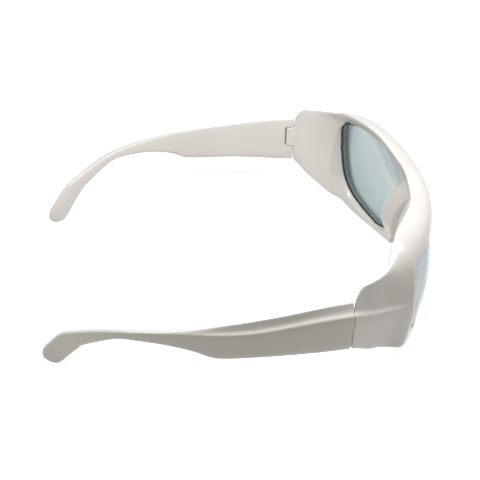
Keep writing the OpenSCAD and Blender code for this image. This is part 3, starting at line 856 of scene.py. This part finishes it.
BOW = [(0, 0), (12, 1.4), (25, 2.6), (38, 3), (50, 2.8), (58, 2.2), (69, -0.1), (EAR - 35, -3.3),
       (EAR - 29, -5.9), (EAR - 23, -9.2), (EAR - 17, -12.9), (EAR - 11, -16.7), (EAR - 5, -20.6),
       (EAR + 2, -23.6)]
RIDGE_T = [(0, HINGE_T), (1, BLADE_T + 0.5), (2, BLADE_T), (6, BLADE_T - 0.2),
           (12, BLADE_T - 0.3)]
RIDGE_DROP = [(0, 4.4), (1, 4.6), (3, 4.5), (4, 3), (5, 1.7), (6, 1), (12, 1)]
STRIP_T = [(0, 1.8), (1, 1.3), (3, 1.2), (4, 1.6), (5, 2.3), (6, 2.8), (12, 2.7)]
CREST_T = [(0, 1), (3, 1), (6, 1.3), (12, 1.4)]
LOW_T = [(0, HINGE_T - 1.8), (2, 2.6), (12, 2.5)]


def bow_slope(y):
    return curve(BOW, y + 0.5) - curve(BOW, y - 0.5)


print("a temple has", len(BLADE), "stations")

# %% [markdown]
# ## The section of a temple
# A ring stands between each pair of edge points: an outer face that leans a little, a ridge, a
# narrow hollow shelf, a steep strip up to a soft crest, and a flat inner face. The shelf closes
# where the blade turns into the neck. Past the last station the rings stand ever closer
# together, each one shorter and thinner, which closes the tip in a rounded square.

# %% Section of a temple
TIP_REACH, TIP_SQUARE, TIP_THIN = 5.55, 0.65, 0.4
SHOULDER_OUT, SHOULDER_UP = 0.25, 0.35
CREST_INSIDE = (0.3, 0.7)
INSIDE_DROP, INSIDE_SHARE = 3, 0.35
STRAIGHT_ROWS, STRIP_ROWS, INSIDE_ROWS = 4, 7, 3


def temple_points(t, h):
    ridge_t, drop, low_t = curve(RIDGE_T, t), curve(RIDGE_DROP, t), curve(LOW_T, t)
    ridge, crest = (ridge_t, drop), (curve(CREST_T, t), 0)
    strip = curve(STRIP_T, t)
    hollow, shoulder = (strip, drop), (strip + SHOULDER_OUT, SHOULDER_UP * drop)
    inside = min(INSIDE_DROP, INSIDE_SHARE * h)
    points = [(low_t - EDGE, h)]
    for i in range(STRAIGHT_ROWS + 1):
        z = mix(h - EDGE, drop, i / STRAIGHT_ROWS)
        points.append((mix(ridge_t, low_t, (z - drop) / (h - drop)), z))
    points += [bend(ridge, hollow, shoulder, crest, i / STRIP_ROWS)
               for i in range(1, STRIP_ROWS + 1)] + [CREST_INSIDE]
    points += [(0, mix(inside, h - EDGE, i / INSIDE_ROWS)) for i in range(INSIDE_ROWS + 1)]
    return points + [(EDGE, h)]


def temple_ring(t, side, angle=0.0):
    top = (curve(TOP_Y, t), curve(TOP_Z, t))
    low = (curve(LOW_Y, t), curve(LOW_Z, t))
    across = ((top[0] - low[0]) / 2, (top[1] - low[1]) / 2)
    middle = ((top[0] + low[0]) / 2, (top[1] + low[1]) / 2)
    h = 2 * math.hypot(*across)
    onward = TIP_REACH * math.sin(angle) * 2 / h
    thin = mix(TIP_THIN, 1, math.cos(angle))
    ring = []
    for q, z in temple_points(t, h):
        share = math.cos(angle) ** TIP_SQUARE * (1 - 2 * z / h)
        py = middle[0] + across[1] * onward + across[0] * share
        pz = middle[1] - across[0] * onward + across[1] * share
        slope = -min(t, 1) * bow_slope(py)
        off = mix(BLADE_T / 2, q, thin) / math.hypot(1, slope)
        ring.append(placed(side * (INNER_X + curve(BOW, py) + off), py + off * slope, pz))
    return ring


print("a temple ring has", len(temple_ring(3, 1)), "points")

# %% [markdown]
# ## Cutting the hinge into a temple
# The front's tongue goes into a slot in the temple, open to the front and inwards, so that the
# temple can fold. The inner front corner is rounded about the pin for the same reason. Near the
# tip the mould leaves two small round ejector marks on the inner face, which the photo shows as
# dots. They are cut a little wider and deeper than they measure, for the smoothing.

# %% Tools for the hinge and the ejector marks
SLOT_PLAY = 0.08
MARKS, MARK_R, MARK_TOOL_L, MARK_TOOL_OUT = (8, 10.3), 0.75, 1.2, 0.3


def prism(name, outline, low, high, side):
    return lofted(name, [[placed(side * x, y, z) for x, y in outline] for z in (low, high)])


def slot_tools(side):
    low, high = -TONGUE_DROP - TONGUE_H - SLOT_PLAY, -TONGUE_DROP + SLOT_PLAY
    reach = (PIN_IN - TONGUE_EASE) * math.sqrt(2) + TONGUE_EASE + SLOT_GAP
    right, left = PIN_X + PIN_IN + SLOT_GAP, INNER_X - 2 * PAST
    a_end = math.acos((right - PIN_X) / reach)
    outline = [(left, -PAST), (right, -PAST), (right, PIN_BACK)]
    for angle in (a_end + (math.pi / 2 - a_end) * i / 6 for i in range(7)):
        outline.append((PIN_X + reach * math.cos(angle), PIN_BACK + reach * math.sin(angle)))
    outline += [(left, PIN_BACK + reach)]
    corner, r = [(left, -PAST), (PIN_X, -PAST)], PIN_BACK - JOINT_GAP
    for angle in (math.radians(i) for i in range(0, 91, 10)):
        corner.append((PIN_X - r * math.sin(angle), PIN_BACK - r * math.cos(angle)))
    corner += [(left, PIN_BACK)]
    return [prism("slot", outline, low, high, side),
            prism("corner", corner, -TEMPLE_H - PAST, PAST, side)]


def mark_tool(t, side):
    y = (curve(TOP_Y, t) + curve(LOW_Y, t)) / 2
    z = (curve(TOP_Z, t) + curve(LOW_Z, t)) / 2
    normal = Vector((side, -bow_slope(y), 0)).normalized()
    centre = placed(side * (INNER_X + curve(BOW, y)), y, z)
    bm = bmesh.new()
    bmesh.ops.create_cone(bm, cap_ends=True, segments=24, radius1=MARK_R * MM,
                          radius2=MARK_R * MM, depth=MARK_TOOL_L * MM,
                          matrix=Matrix.Translation(centre - normal * MARK_TOOL_OUT * MM)
                          @ normal.to_track_quat("Z", "Y").to_matrix().to_4x4())
    return make_object("mark", bm)


print("the slot is", round(TONGUE_H + 2 * SLOT_PLAY, 2), "mm high; ejector marks:", len(MARKS))

# %% [markdown]
# ## Making the temples
# The left temple and its mirror image come from the same function, which turns the rings about
# the middle plane by a sign. A second ring close to the first keeps the end at the joint square,
# a ring at every third of a station keeps the long bends smooth, and five more close the tip.
# The skin is finer than the front's, because the blade is thin.

# %% Temples
RINGS_PER_STATION, SECOND_RING = 3, 0.02
TIP_ANGLES = (22, 42, 58, 71, 81)
TEMPLE_SKIN, PIN_FIT, PIN_TOP = 0.3, 0.02, -2.8


def make_temple(name, node, body, side):
    last = len(BLADE) - 1
    rings = [temple_ring(0, side), temple_ring(SECOND_RING, side)]
    rings += [temple_ring(i / RINGS_PER_STATION, side)
              for i in range(1, RINGS_PER_STATION * last + 1)]
    rings += [temple_ring(last, side, math.radians(a)) for a in TIP_ANGLES]
    blade = subdivided(lofted(name, rings), levels=2)
    tools = slot_tools(side) + [pin_tool(PIN_D / 2 + PIN_FIT, -TEMPLE_H - PAST, PIN_TOP, side)]
    carve(blade, tools + [mark_tool(t, side) for t in MARKS])
    moulded(blade, TEMPLE_SKIN, passes=2)
    finished(blade, white_temple)
    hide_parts(node)
    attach(blade, body)
    print(name, "has", len(blade.data.polygons), "faces")


make_temple("left_temple_blade", "temple_left", "left_temple", 1)
make_temple("right_temple_blade", "temple_right", "right_temple", -1)

# %% [markdown]
# ## Table
# The glasses lie on a white table that the camera sees as pure white, but that still takes
# their shadow. So a plain diffuse white gets a glow on top, only where the camera, a reflection
# or a see-through piece looks at it. For the light in the scene it stays a plain table.

# %% Table
TABLE_HALF_W, TABLE_DROP = 6.0, 0.0002


def seen_directly(tree):
    """One where the camera, a reflection or a see-through piece looks, and nought for light."""
    path = add_node(tree, "ShaderNodeLightPath")
    share = path.outputs["Is Camera Ray"]
    for name in ("Is Glossy Ray", "Is Transmission Ray"):
        either = add_node(tree, "ShaderNodeMath", {"operation": "MAXIMUM"})
        tree.links.new(share, either.inputs[0])
        tree.links.new(path.outputs[name], either.inputs[1])
        share = either.outputs["Value"]
    return share


def make_floor():
    bm = bmesh.new()
    bmesh.ops.create_grid(bm, x_segments=1, y_segments=1, size=TABLE_HALF_W)
    floor = make_object("table", bm)
    material, tree = new_material("white_table")
    shade = add_node(tree, "ShaderNodeBsdfDiffuse", {}, {"Color": srgb("#D8D6D3")})
    glow = add_node(tree, "ShaderNodeEmission", {}, {"Color": (1, 1, 1, 1), "Strength": 0.8})
    seen = add_node(tree, "ShaderNodeAddShader")
    tree.links.new(shade.outputs["BSDF"], seen.inputs[0])
    tree.links.new(glow.outputs["Emission"], seen.inputs[1])
    choice = add_node(tree, "ShaderNodeMixShader", {}, {}, {"Fac": seen_directly(tree)})
    tree.links.new(shade.outputs["BSDF"], choice.inputs[1])
    tree.links.new(seen.outputs["Shader"], choice.inputs[2])
    add_node(tree, "ShaderNodeOutputMaterial", {}, {}, {"Surface": choice.outputs["Shader"]})
    floor.data.materials.append(material)
    floor.location.z = -TABLE_DROP
    floor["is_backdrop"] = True


make_floor()
print("the table is", 2 * TABLE_HALF_W, "m wide")

# %% [markdown]
# ## Lamps and room
# A long narrow lamp hangs close above the front, so that its light falls off quickly from the
# brow down to the side, and a weak large one stands behind. The camera and the reflections see
# the room as white paper, while the light that it sheds is a low, warm fill.

# %% Lamps and room
def area_lamp(name, place, target, size, power):
    data = bpy.data.lights.new(name, "AREA")
    data.shape = "RECTANGLE"
    data.size, data.size_y = size
    data.energy = power
    lamp = bpy.data.objects.new(name, data)
    lamp.location = place
    lamp.rotation_mode = "QUATERNION"
    lamp.rotation_quaternion = (Vector(target) - Vector(place)).to_track_quat("-Z", "Y")
    bpy.context.scene.collection.objects.link(lamp)


def make_room():
    world = bpy.data.worlds.new("studio_room")
    world.use_nodes = True
    room = world.node_tree
    fill = room.nodes["Background"]
    fill.inputs["Color"].default_value = srgb("#F6EFE4")
    fill.inputs["Strength"].default_value = 0.145
    paper = add_node(room, "ShaderNodeBackground", {}, {"Color": (1, 1, 1, 1), "Strength": 1.0})
    either = add_node(room, "ShaderNodeMixShader", {}, {}, {"Fac": seen_directly(room)})
    room.links.new(fill.outputs["Background"], either.inputs[1])
    room.links.new(paper.outputs["Background"], either.inputs[2])
    room.links.new(either.outputs["Shader"], room.nodes["World Output"].inputs["Surface"])
    bpy.context.scene.world = world


area_lamp("overhead_softbox", place=(-0.053, 0.0, 0.23), target=(0.02, 0.0, 0.02),
          size=(0.42, 0.06), power=0.62)
area_lamp("rear_softbox", place=(0.7, -0.2, 0.8), target=(0, 0, 0.03), size=(0.7, 0.7),
          power=1.6)
make_room()
bpy.context.scene.view_settings.view_transform = "Standard"

# %% [markdown]
# ## Size of the dressed model
# The box of the dressed model is set against the box of the measured solids, and the differences
# are printed in millimetres.

# %% Finish
bpy.context.view_layer.update()
seen_low, seen_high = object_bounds()
gaps = [(a - b) / MM for a, b in zip([*seen_low, *seen_high], [*cad_low, *cad_high])]
print("difference in mm:", [round(gap, 2) for gap in gaps])
